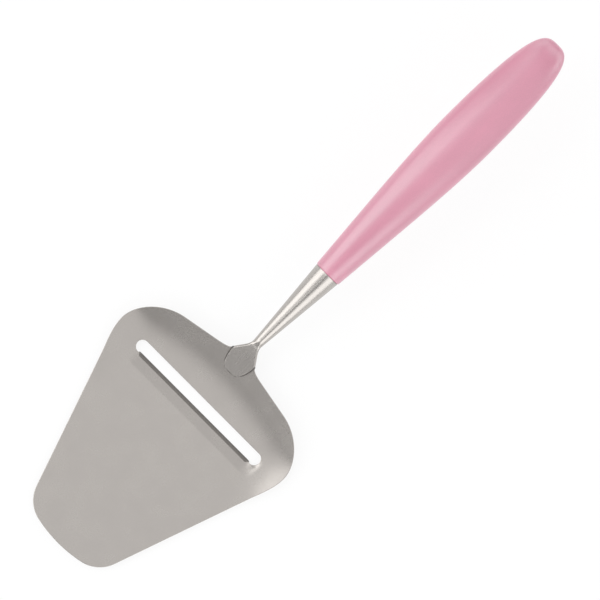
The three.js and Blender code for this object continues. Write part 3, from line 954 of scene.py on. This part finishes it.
def add_piece(mesh, slot, *nodes):
    """Puts a finished mesh in the scene, where it stands for the solids of those names."""
    piece = bpy.data.objects.new(mesh.name, mesh)
    bpy.context.scene.collection.objects.link(piece)
    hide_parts(*nodes)
    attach(piece, BODY)
    return piece


def rings_mesh(name, rings, near_pole, far_pole, sharp=SHARP_ANGLE):
    """A closed skin over rings of as many points each, with a point beyond each end."""
    size = len(rings[0])
    points = [p for ring in rings for p in ring] + [near_pole, far_pole]
    cells = []
    for i in range(len(rings) - 1):
        near = [i * size + j for j in range(size)]
        cells += walls(near, [n + size for n in near])
    last = (len(rings) - 1) * size
    near, far = len(points) - 2, len(points) - 1
    for j in range(size):
        after = (j + 1) % size
        cells += [(near, after, j), (far, last + j, last + after)]
    return solid_mesh(name, points, cells, sharp)


# Finishes


def noise(tree, place, layer):
    shrink = tree.nodes.new("ShaderNodeMapping")
    shrink.inputs["Scale"].default_value = [1 / (layer["grain"] * s) for s in layer["stretch"]]
    tree.links.new(place, shrink.inputs["Vector"])
    node = tree.nodes.new("ShaderNodeTexNoise")
    node.inputs["Scale"].default_value = 1
    node.inputs["Detail"].default_value = layer["detail"]
    node.inputs["Roughness"].default_value = layer["rough"]
    tree.links.new(shrink.outputs[0], node.inputs["Vector"])
    return Field(tree, node.outputs["Fac"])


def between(tree, part, ends):
    """A colour between two, by a field from 0 to 1."""
    node = tree.nodes.new("ShaderNodeMix")
    node.data_type = "RGBA"
    plug(tree, held(part, 0, 1), node.inputs["Factor"])
    sockets = [socket for socket in node.inputs if socket.type == "RGBA"]
    for socket, end in zip(sockets, ends):
        socket.default_value = (*end, 1)
    return next(socket for socket in node.outputs if socket.type == "RGBA")


def tinted(tone, tint):
    """A colour times one number, or times one for each of its parts."""
    return [min(1, float(part)) for part in np.array(tone) * tint]


def finish(name, tone, tilt=0):
    """A material with one of the looks, on Object coordinates that are turned by the tilt, so
    that their X runs along the piece."""
    look = LOOKS[name]
    material = bpy.data.materials.new(name)
    material.use_nodes = True
    tree = material.node_tree
    shader = tree.nodes["Principled BSDF"]
    for socket, value in look["plain"].items():
        shader.inputs[socket].default_value = value
    place = tree.nodes.new("ShaderNodeTexCoord")
    turned = tree.nodes.new("ShaderNodeMapping")
    turned.inputs["Rotation"].default_value[1] = tilt
    tree.links.new(place.outputs["Object"], turned.inputs["Vector"])
    layers = [{**LAYER, **layer} for layer in look["layers"]]
    noises = [noise(tree, turned.outputs[0], layer) for layer in layers]
    tone_part = NOISE_MIDDLE
    roughness = look["roughness"]
    for layer, field in zip(layers, noises):
        if layer["tone"]:
            tone_part = tone_part + (field - NOISE_MIDDLE) * layer["tone"]
        if layer["roughness"]:
            roughness = roughness + (field - NOISE_MIDDLE) * layer["roughness"]
    tints = [tinted(tone, tint) for tint in look["tints"]]
    tree.links.new(between(tree, tone_part, tints), shader.inputs["Base Color"])
    tree.links.new(roughness.socket, shader.inputs["Roughness"])
    bump = tree.nodes.new("ShaderNodeBump")
    bump.inputs["Strength"].default_value = 1
    bump.inputs["Distance"].default_value = look["bump"]
    tree.links.new(noises[0].socket, bump.inputs["Height"])
    tree.links.new(bump.outputs[0], shader.inputs["Normal"])
    return material


# Pieces


def press_x(at):
    """Rows of the blank's grid, closer where the press bends it."""
    return [
        *spread(at.tip_x, at.crease_x, FLAT_ROWS),
        *spread(at.crease_x, at.edge_x, LIP_ROWS)[1:],
        *spread(at.edge_x, at.slot_rear_x, SLOT_ROWS)[1:],
        *spread(at.slot_rear_x, at.tab_x, REAR_ROWS)[1:],
    ]


def press_y(blade, at):
    """Columns of the blank's grid, closer at the ends of the lip."""
    near = at.lip_end_y - blade.lip_end_run
    middle = spread(0, near, round(near / ACROSS_STEP))
    lip_end = spread(near, at.lip_end_y, round(blade.lip_end_run / LIP_END_STEP))[1:]
    rest = at.half_width - at.lip_end_y
    outer = spread(at.lip_end_y, at.half_width, round(rest / ACROSS_STEP))[1:]
    half = middle + lip_end + outer
    return [-y for y in reversed(half[1:])] + half


def bevel_crease(blade, at):
    """The line where the grinding ends on top of the lip, as points from right to left."""
    points = []
    for y in spread(-at.edge_end_y, at.edge_end_y, round(2 * at.edge_end_y / LIP_END_STEP)):
        width = blade.bevel_run * eased_part((at.slot_end_y - abs(y)) / blade.bevel_end_run)
        if width > blade.edge_round + GUARD_WIDTH + GRID_MARGIN:
            points.append((at.edge_x - width, y))
    return np.array(points)


def weld_spots(blade, at, shank):
    """Places of the welds in the plan of the blade, and the half sizes of one there."""
    overlap = shank.pad_overlap + at.tab_x - at.rear_x
    middle = shank.pad_thickness / 2 + shank.seat_gap + blade.thickness / 2
    base = pad_place(blade, at, shank)
    front, rear = [
        base.x + overlap * part * math.cos(blade.rise) + middle * math.sin(blade.rise)
        for part in (FRONT_WELD_SHARE, REAR_WELD_SHARE)
    ]
    radius = (WELD_HIGH.y - WELD_LOW.y) / 2
    return SimpleNamespace(
        front=front,
        rear=rear,
        spacing=shank.pad_width * WELD_SPACING_SHARE,
        half_x=radius * math.cos(blade.rise),
        half_y=radius,
    )


def weld_outline(spots, x, y, grow):
    """Points round one weld in the plan of the blade."""
    count = QUARTER_STEPS * 2
    turns = [2 * math.pi * i / count for i in range(count)]
    return np.array(
        [
            (x + (spots.half_x + grow) * math.cos(t), y + (spots.half_y + grow) * math.sin(t))
            for t in turns
        ]
    )


def pad_place(blade, at, shank):
    """Front of the pad on its mid-plane, the origin of the sloping shank."""
    front_x = at.rear_x - shank.pad_overlap
    lift = blade.thickness + shank.seat_gap + shank.pad_thickness / 2
    return Vector(
        (
            front_x - lift * math.sin(blade.rise),
            0,
            (front_x - at.bend_x) * math.tan(blade.rise) + lift * math.cos(blade.rise),
        )
    )


class SLICER_OT_blade(bpy.types.Operator):
    """Make the pressed sheet of the blade"""

    bl_idname = "slicer.blade"
    bl_label = "Blade"

    def execute(self, context):
        blade = context.scene.slicer_blade
        shank = context.scene.slicer_shank
        colours = context.scene.slicer_finish
        at = blade_places(blade)
        spots = weld_spots(blade, at, shank)
        outlines = [
            np.array(trace(blade_outline(blade, at, shank.pad_width), OUTLINE_STEP)),
            np.array(trace(slot_outline(at), SLOT_STEP)),
        ]
        half_spacing = spots.spacing / 2
        for x, y in ((spots.front, 0), (spots.rear, half_spacing), (spots.rear, -half_spacing)):
            outlines.append(weld_outline(spots, x, y, WELD_CLEARANCE))
        grid = np.array([(x, y) for x in press_x(at) for y in press_y(blade, at)])
        creases = [bevel_crease(blade, at)]
        points, cells = blank(outlines, creases, grid, blade.thickness, blade.edge_round)
        sizes = press_sizes(blade, at)
        sizes["Sheet Finish"] = finish("blasted sheet steel", colours.blade_steel)
        # The bevel's dark finish is ground steel with painted shade
        sizes["Bevel Finish"] = finish("ground bevel with painted shade", colours.ground_steel_and_painted_shade)
        flat = solid_mesh("blank", points, cells)
        mesh = shaped("pressed_blade", flat, press_tree(sizes), sizes)
        smooth(mesh)
        add_piece(mesh, "blade_steel", "blade")
        return {"FINISHED"}


class SLICER_OT_welds(bpy.types.Operator):
    """Make the spot welds that hold the pad on the sheet"""

    bl_idname = "slicer.welds"
    bl_label = "Spot welds"

    def execute(self, context):
        blade = context.scene.slicer_blade
        shank = context.scene.slicer_shank
        colours = context.scene.slicer_finish
        at = blade_places(blade)
        spots = weld_spots(blade, at, shank)
        outline = weld_outline(spots, 0, 0, 0)
        rings = [[(x, y, blade.thickness) for x, y in outline]]
        for part in spread(1, 0, WELD_RINGS)[:-1]:
            level = WELD_CROWN * part**WELD_CROWN_POWER
            rings.append([(x, y, level) for x, y in outline * part])
        flat = rings_mesh("plug", rings, (0, 0, blade.thickness), (0, 0, 0))
        sizes = press_sizes(blade, at)
        sizes["Front X"] = spots.front
        sizes["Rear X"] = spots.rear
        sizes["Spacing"] = spots.spacing
        sizes["Weld Finish"] = finish("fused weld", colours.weld_steel)
        mesh = shaped("spot_welds", flat, weld_tree(sizes), sizes)
        smooth(mesh)
        add_piece(mesh, "weld_steel", "weld_front", "weld_left", "weld_right")
        return {"FINISHED"}


def quarter(half_width, half_height, corner, part):
    """A point of one quarter of a box section with round corners, from its side to its top.
    Points are spread by the outline's length and by its turning."""
    side = half_height - corner
    bend = corner * math.pi / 2
    top = half_width - corner
    whole = side + bend + top
    side_part = side / whole * (1 - TURN_SHARE)
    bend_part = bend / whole * (1 - TURN_SHARE) + TURN_SHARE
    top_part = top / whole * (1 - TURN_SHARE)
    total = side_part + bend_part + top_part
    run = part * total
    if run < side_part:
        return half_width, side * run / side_part
    if run <= side_part + bend_part or top_part <= 0:
        turn = min(1, (run - side_part) / bend_part) * math.pi / 2
        return top + corner * math.cos(turn), side + corner * math.sin(turn)
    return top * (1 - (run - side_part - bend_part) / top_part), half_height


def section(along, half_width, top, bottom, corner, draft=0):
    """A ring of points round the shank, square to its length. Its sides lean in by the draft."""
    half_height = (top + bottom) / 2
    middle = (top - bottom) / 2
    corner = min(corner, half_width, half_height)
    ring = []
    for sign_y, sign_z, reverse in ((1, 1, False), (-1, 1, True), (-1, -1, False), (1, -1, True)):
        for i in range(QUARTER_STEPS):
            part = i / QUARTER_STEPS
            y, z = quarter(half_width, half_height, corner, 1 - part if reverse else part)
            lean = draft * (z * sign_z + half_height) / (2 * half_height)
            ring.append((along, y * sign_y * (1 - lean / half_width), z * sign_z + middle))
    return ring


def round_section(along, radius):
    return section(along, radius, radius, radius, radius)


def pad_plan(shank):
    """Half of the outline of the pad, seen from above, from its front to the neck."""
    nose = shank.pad_nose / 2
    widest = shank.pad_width / 2
    neck = shank.neck_diameter / 2
    corner = shank.pad_nose * NOSE_CORNER_SHARE
    cheek = Vector(
        (shank.pad_widest_at * shank.cheek, nose + (widest - nose) * (1 - shank.cheek))
    )
    front = Vector((0, nose - corner))
    front_out = Vector((corner, nose + corner / 2))
    at_widest = Vector((shank.pad_widest_at, widest))
    slope = math.tan(shank.pad_taper)
    taper_end = shank.pad_widest_at + (widest - neck) / slope
    blunt = shank.flank_round / 2
    before = curve(front_out, cheek, at_widest)(1 - blunt / shank.pad_widest_at)
    after = at_widest + blunt * Vector((math.cos(shank.pad_taper), -math.sin(shank.pad_taper)))
    reach = shank.neck_diameter * NECK_FILLET_SHARE
    fillet = Vector((taper_end - reach, neck + reach * slope))
    inside_end = Vector((taper_end + reach, neck))
    curves = [
        curve(front, Vector((0, nose)), front_out),
        curve(front_out, cheek, before),
        curve(before, at_widest, after),
        curve(after, fillet),
        curve(fillet, Vector((taper_end, neck)), inside_end),
    ]
    return trace(curves, PAD_STEP) + [inside_end]


def leaned(ring, joint_at, radius, slope):
    """A ring whose points near the joint move along, so that the joint stands upright."""
    moved = []
    for along, y, z in ring:
        near = eased_part(1 - abs(along - joint_at) / JOINT_LEAN_RUN)
        outer = (y * y + z * z) / (radius * radius)
        moved.append((along + z * math.tan(slope) * near * outer, y, z))
    return moved


def shank_length(blade, at, shank):
    """From the pad's front to the handle, along the slope, found from the shank's solid."""
    base = pad_place(blade, at, shank)
    end_x = SHANK_HIGH.x - shank.stem_diameter / 2 * math.sin(blade.rise)
    return (end_x - base.x) / math.cos(blade.rise)


def stem_radius(shank, total, along):
    """Of the round part of the shank, which widens from the neck to the handle."""
    neck = shank.neck_diameter / 2
    past_neck = max(0, along - shank.neck_at) / (total - shank.neck_at)
    return neck + (shank.stem_diameter / 2 - neck) * past_neck


def pad_rings(shank, total, sheet_end):
    """Rings round the pad and the neck, from the front to the end of the ramp."""
    half = shank.pad_thickness / 2
    seated = half + shank.seat_gap - shank.weld_gap
    ramp_end = shank.ramp_at + shank.ramp_run
    plan = pad_plan(shank)
    plan_x = [point.x for point in plan]
    plan_y = [point.y for point in plan]
    rings = []
    for along in plan_x + spread(plan_x[-1], ramp_end, NECK_RINGS)[1:]:
        grown = eased_part((along - shank.ramp_at) / shank.ramp_run)
        past_swell = max(0, along - shank.swell_at) / (ramp_end - shank.swell_at)
        swelled = shank.swell * past_swell**2
        radius = stem_radius(shank, total, along)
        half_width = max(float(np.interp(along, plan_x, plan_y)), radius)
        front = min(1, along / shank.front_draft)
        wall = shank.front_wall + (half + seated - shank.front_wall) * front
        from_sheet = along - sheet_end + shank.flank_round
        behind = eased_part(from_sheet / (2 * shank.flank_round))
        soft = shank.front_round + (shank.flank_round - shank.front_round) * behind
        late = max(0, along - shank.pad_widest_at) / (shank.neck_at - shank.pad_widest_at)
        corner = soft + (radius - soft) * min(1, late) ** 2
        top = wall - seated + swelled + (radius - half - swelled) * grown
        bottom = seated + (radius - seated) * grown
        draft = shank.draft * front * (1 - behind)
        rings.append(section(along, half_width, top, bottom, corner, draft))
    return rings


def stem_rings(shank, total):
    """Rings round the stem behind the ramp, its edge at the handle and the bore for the rod."""
    edge = shank.stem_edge
    bore = (ROD_HIGH.y - ROD_LOW.y) / 2 + shank.seat_gap
    places = spread(shank.ramp_at + shank.ramp_run, total - edge, STEM_RINGS)[1:]
    rings = [round_section(along, stem_radius(shank, total, along)) for along in places]
    for turn in spread(0, math.pi / 2, ROUND_STEPS)[1:]:
        along = total - edge + edge * math.sin(turn)
        radius = shank.stem_diameter / 2 - edge + edge * math.cos(turn)
        rings.append(round_section(along, radius))
    return rings + [round_section(along, bore) for along in (total, total - shank.bore_depth)]


class SLICER_OT_shank(bpy.types.Operator):
    """Make the forged shank with its pad, neck and stem"""

    bl_idname = "slicer.shank"
    bl_label = "Shank"

    def execute(self, context):
        blade = context.scene.slicer_blade
        shank = context.scene.slicer_shank
        colours = context.scene.slicer_finish
        at = blade_places(blade)
        base = pad_place(blade, at, shank)
        total = shank_length(blade, at, shank)
        sheet_end = (at.tab_x - base.x) / math.cos(blade.rise)
        stem = shank.stem_diameter / 2
        rings = pad_rings(shank, total, sheet_end) + stem_rings(shank, total)
        rings = [leaned(ring, total, stem, blade.rise) for ring in rings]
        near = (0, 0, (shank.weld_gap - shank.seat_gap) / 2)
        far = (total - shank.bore_depth, 0, 0)
        mesh = rings_mesh("forged_shank", rings, near, far)
        mesh.materials.append(finish("satin forged steel", colours.shank_steel, blade.rise))
        mesh.materials.append(finish("painted wall shade", colours.painted_wall_shade))
        # The pad's steep walls on the sheet take the dark second finish, which is painted shade
        # along the pad's edge
        for face in mesh.polygons:
            wall_in_painted_shade = face.center.x < sheet_end and 0 < face.normal.z < WALL_NORMAL
            face.material_index = int(wall_in_painted_shade)
        slope = Matrix.Rotation(-blade.rise, 4, "Y")
        mesh.transform(Matrix.Translation(base) @ slope)
        add_piece(mesh, "shank_steel", "shank")
        return {"FINISHED"}


def handle_curves(handle, front, crest, crest_at, shares):
    """Half of the handle's outline in one view, as a curve to its crest and one to its butt."""
    end = handle.axis_length
    rise = (crest - front) * shares.rise
    tail = (end - crest_at) * shares.tail
    top = Vector((crest_at, crest))
    return [
        curve(
            Vector((0, front)),
            Vector((crest_at * shares.lead, front + rise)),
            Vector((crest_at * (1 - shares.crest), crest)),
            top,
        ),
        curve(
            top,
            Vector((crest_at + tail, crest)),
            Vector((end, crest * shares.butt)),
            Vector((end, 0)),
        ),
    ]


def half_at(curves, crest_at, along):
    """Distance of an outline from the axis at a place along the handle, by halving."""
    at = curves[0] if along <= crest_at else curves[1]
    low, high = 0, 1
    for _ in range(SEARCH_STEPS):
        middle = (low + high) / 2
        if at(middle).x < along:
            low = middle
        else:
            high = middle
    return at(low).y


def oval(along, half_width, half_height):
    turns = [2 * math.pi * i / SKIN_SIDES for i in range(SKIN_SIDES)]
    return [(along, half_width * math.cos(t), half_height * math.sin(t)) for t in turns]


def skin_rings(handle, front, hollow_end):
    """Rings of the straight skin, from the far end of its hollow forward and back outside."""
    width = handle_curves(handle, front, handle.width / 2, handle.widest_at, WIDTH_SHARES)
    height = handle_curves(handle, front, handle.height / 2, handle.thickest_at, HEIGHT_SHARES)

    def ring(along, inset, part=1):
        half_width = half_at(width, handle.widest_at, along) - inset
        half_height = half_at(height, handle.thickest_at, along) - inset
        return oval(along, half_width * part, half_height * part)

    places = [width[0](i / LEAD_RINGS).x for i in range(1, LEAD_RINGS + 1)]
    places += [width[1](i / TAIL_RINGS).x for i in range(1, TAIL_RINGS)]
    edge = handle.edge_round
    rounded_from = hollow_end - handle.core_end_round
    rings = []
    for turn in spread(math.pi / 2, 0, QUARTER_STEPS)[1:]:
        along = rounded_from + handle.core_end_round * math.sin(turn)
        rings.append(ring(along, handle.wall, math.cos(turn)))
    inner = [a for a in places[::-HOLLOW_RING_STEP] if handle.joint + edge < a < rounded_from]
    rings += [ring(along, handle.wall) for along in (*inner, handle.joint)]
    for turn in spread(0, math.pi / 2, ROUND_STEPS):
        along = handle.joint + edge * (1 - math.cos(turn))
        rings.append(ring(along, edge * (1 - math.sin(turn))))
    return rings + [ring(along, 0) for along in places if along > handle.joint + 2 * edge]


class SLICER_OT_handle(bpy.types.Operator):
    """Make the moulded skin of the handle"""

    bl_idname = "slicer.handle"
    bl_label = "Handle skin"

    def execute(self, context):
        blade = context.scene.slicer_blade
        shank = context.scene.slicer_shank
        handle = context.scene.slicer_handle
        colours = context.scene.slicer_finish
        at = blade_places(blade)
        base = pad_place(blade, at, shank)
        front = shank.stem_diameter / 2 + handle.step
        hollow_end = handle.axis_length - handle.butt_wall + shank.seat_gap
        rings = skin_rings(handle, front, hollow_end)
        rings = [leaned(ring, 0, front, blade.rise) for ring in rings]
        mesh = rings_mesh("skin", rings, (hollow_end, 0, 0), (handle.axis_length, 0, 0))
        sizes = {
            "Arch Radius": handle.axis_length / handle.turn,
            "Start": shank_length(blade, at, shank),
            "Rise": blade.rise,
            "Pad X": base.x,
            "Pad Z": base.z,
            "Skin Finish": finish("satin pink skin", colours.skin_plastic),
        }
        mesh = shaped("handle_skin", mesh, arch_tree(sizes), sizes)
        smooth(mesh)
        add_piece(mesh, "pink_plastic", "handle_shell")
        return {"FINISHED"}


class SLICER_OT_inside(bpy.types.Operator):
    """Give the solids of the rod and the core their finishes"""

    bl_idname = "slicer.inside"
    bl_label = "Rod and core"

    def execute(self, context):
        blade = context.scene.slicer_blade
        colours = context.scene.slicer_finish
        finishes = {
            "rod": finish("turned rod steel", colours.rod_steel, blade.rise),
            "handle_core": finish("moulded core", colours.core_plastic),
        }
        for name, material in finishes.items():
            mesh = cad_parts[name].data
            mesh.materials.clear()
            mesh.materials.append(material)
        return {"FINISHED"}


# Studio


def lamp(name, place, size, level, aim):
    """A soft box, whose level is the radiance of its face."""
    data = bpy.data.lights.new(name, "AREA")
    data.shape = "RECTANGLE"
    data.size, data.size_y = size
    data.energy = level * math.pi * size[0] * size[1]
    lamp_object = bpy.data.objects.new(name, data)
    lamp_object.location = place
    toward = Vector(aim) - Vector(place)
    lamp_object.rotation_euler = toward.to_track_quat("-Z", "Y").to_euler()
    lamp_object.visible_camera = False
    bpy.context.scene.collection.objects.link(lamp_object)


def seen_rays(tree):
    """1 for rays from the camera and from shine or glass, and 0 for the light that falls."""
    path = tree.nodes.new("ShaderNodeLightPath")
    seen = ("Is Camera Ray", "Is Glossy Ray", "Is Transmission Ray")
    return maths(tree, "MINIMUM", sum(Field(tree, path.outputs[name]) for name in seen), 1)


def end_in_mix(tree, part, first, second, output):
    """Ends a tree in a mix of two shaders, by a part of the second."""
    mixer = tree.nodes.new("ShaderNodeMixShader")
    plug(tree, part, mixer.inputs[0])
    tree.links.new(first.outputs[0], mixer.inputs[1])
    tree.links.new(second.outputs[0], mixer.inputs[2])
    tree.links.new(mixer.outputs[0], tree.nodes[output].inputs["Surface"])


class SLICER_OT_stage(bpy.types.Operator):
    """Make the floor, the soft light and the camera"""

    bl_idname = "slicer.stage"
    bl_label = "Stage"

    def execute(self, context):
        scene = context.scene
        self.make_floor(scene)
        self.make_world(scene)
        self.make_lamps()
        self.make_camera(scene)
        scene.view_settings.view_transform = "Standard"
        return {"FINISHED"}

    def make_floor(self, scene):
        mesh = bpy.data.meshes.new("floor")
        half = FLOOR_SIZE / 2
        level = CAD_BOX[0].z
        plan = ((-half, -half), (half, -half), (half, half), (-half, half))
        mesh.from_pydata([(x, y, level) for x, y in plan], [], [(0, 1, 2, 3)])
        floor = bpy.data.objects.new("floor", mesh)
        scene.collection.objects.link(floor)
        material = bpy.data.materials.new("pale floor")
        material.use_nodes = True
        tree = material.node_tree
        shader = tree.nodes["Principled BSDF"]
        shader.inputs["Base Color"].default_value = (FLOOR_TONE, FLOOR_TONE, FLOOR_TONE, 1)
        shader.inputs["Roughness"].default_value = 1
        shader.inputs["Specular IOR Level"].default_value = 0
        white = tree.nodes.new("ShaderNodeEmission")
        white_part = seen_rays(tree) * FLOOR_WHITE_SHARE
        end_in_mix(tree, white_part, shader, white, "Material Output")
        mesh.materials.append(material)

    def make_world(self, scene):
        world = bpy.data.worlds.new("studio")
        scene.world = world
        world.use_nodes = True
        tree = world.node_tree
        dim = tree.nodes["Background"]
        dim.inputs["Strength"].default_value = WORLD_LEVEL
        white = tree.nodes.new("ShaderNodeBackground")
        for shader in (dim, white):
            shader.inputs["Color"].default_value = (1, 1, 1, 1)
        path = tree.nodes.new("ShaderNodeLightPath")
        camera_ray = Field(tree, path.outputs["Is Camera Ray"])
        end_in_mix(tree, camera_ray, dim, white, "World Output")

    def make_lamps(self):
        below = (OVERHEAD_PLACE[0], 0, 0)
        lamp("overhead box", OVERHEAD_PLACE, OVERHEAD_SIZE, OVERHEAD_LEVEL, below)
        for box in SIDE_BOXES:
            turn = math.radians(box.turn)
            low, high = [SIDE_DISTANCE * math.tan(math.radians(a)) for a in (box.low, box.high)]
            middle = Vector(STAGE_MIDDLE) + Vector((0, 0, (low + high) / 2))
            away = Vector((math.cos(turn), math.sin(turn), 0)) * SIDE_DISTANCE
            width = 2 * SIDE_DISTANCE * math.tan(math.radians(box.width) / 2)
            lamp("side box", middle + away, (width, high - low), box.level, middle)

    def make_camera(self, scene):
        data = bpy.data.cameras.new("camera")
        data.lens = data.sensor_width * CAMERA_DISTANCE / PICTURE_WIDTH
        data.clip_end = 2 * CAMERA_DISTANCE
        camera = bpy.data.objects.new("camera", data)
        camera.location = Vector(PICTURE_CENTRE) + Vector((0, 0, CAMERA_DISTANCE))
        camera.rotation_euler = (0, 0, PICTURE_TURN)
        scene.collection.objects.link(camera)
        scene.camera = camera


class SLICER_PT_panel(bpy.types.Panel):
    """Sizes, colours and makers of the slicer"""

    bl_idname = "SLICER_PT_panel"
    bl_label = "Cheese slicer"
    bl_space_type = "VIEW_3D"
    bl_region_type = "UI"
    bl_category = "Slicer"

    def draw(self, context):
        layout = self.layout
        for operator in OPERATORS:
            layout.operator(operator.bl_idname)
        for name in SETTINGS:
            settings = getattr(context.scene, name)
            box = layout.box()
            for key in settings.bl_rna.properties.keys():
                if key not in ("rna_type", "name"):
                    box.prop(settings, key)


SETTINGS = {
    "slicer_blade": SlicerBlade,
    "slicer_shank": SlicerShank,
    "slicer_handle": SlicerHandle,
    "slicer_finish": SlicerFinish,
}
OPERATORS = (
    SLICER_OT_blade,
    SLICER_OT_welds,
    SLICER_OT_shank,
    SLICER_OT_handle,
    SLICER_OT_inside,
    SLICER_OT_stage,
)


def register():
    for group in (*SETTINGS.values(), *OPERATORS, SLICER_PT_panel):
        bpy.utils.register_class(group)
    for name, group in SETTINGS.items():
        setattr(bpy.types.Scene, name, bpy.props.PointerProperty(type=group))


def unregister():
    for name in SETTINGS:
        delattr(bpy.types.Scene, name)
    for group in reversed((*SETTINGS.values(), *OPERATORS, SLICER_PT_panel)):
        bpy.utils.unregister_class(group)


def main():
    register()
    bpy.ops.slicer.blade()
    bpy.ops.slicer.welds()
    bpy.ops.slicer.shank()
    bpy.ops.slicer.handle()
    bpy.ops.slicer.inside()
    bpy.ops.slicer.stage()


if __name__ == "__main__":
    main()
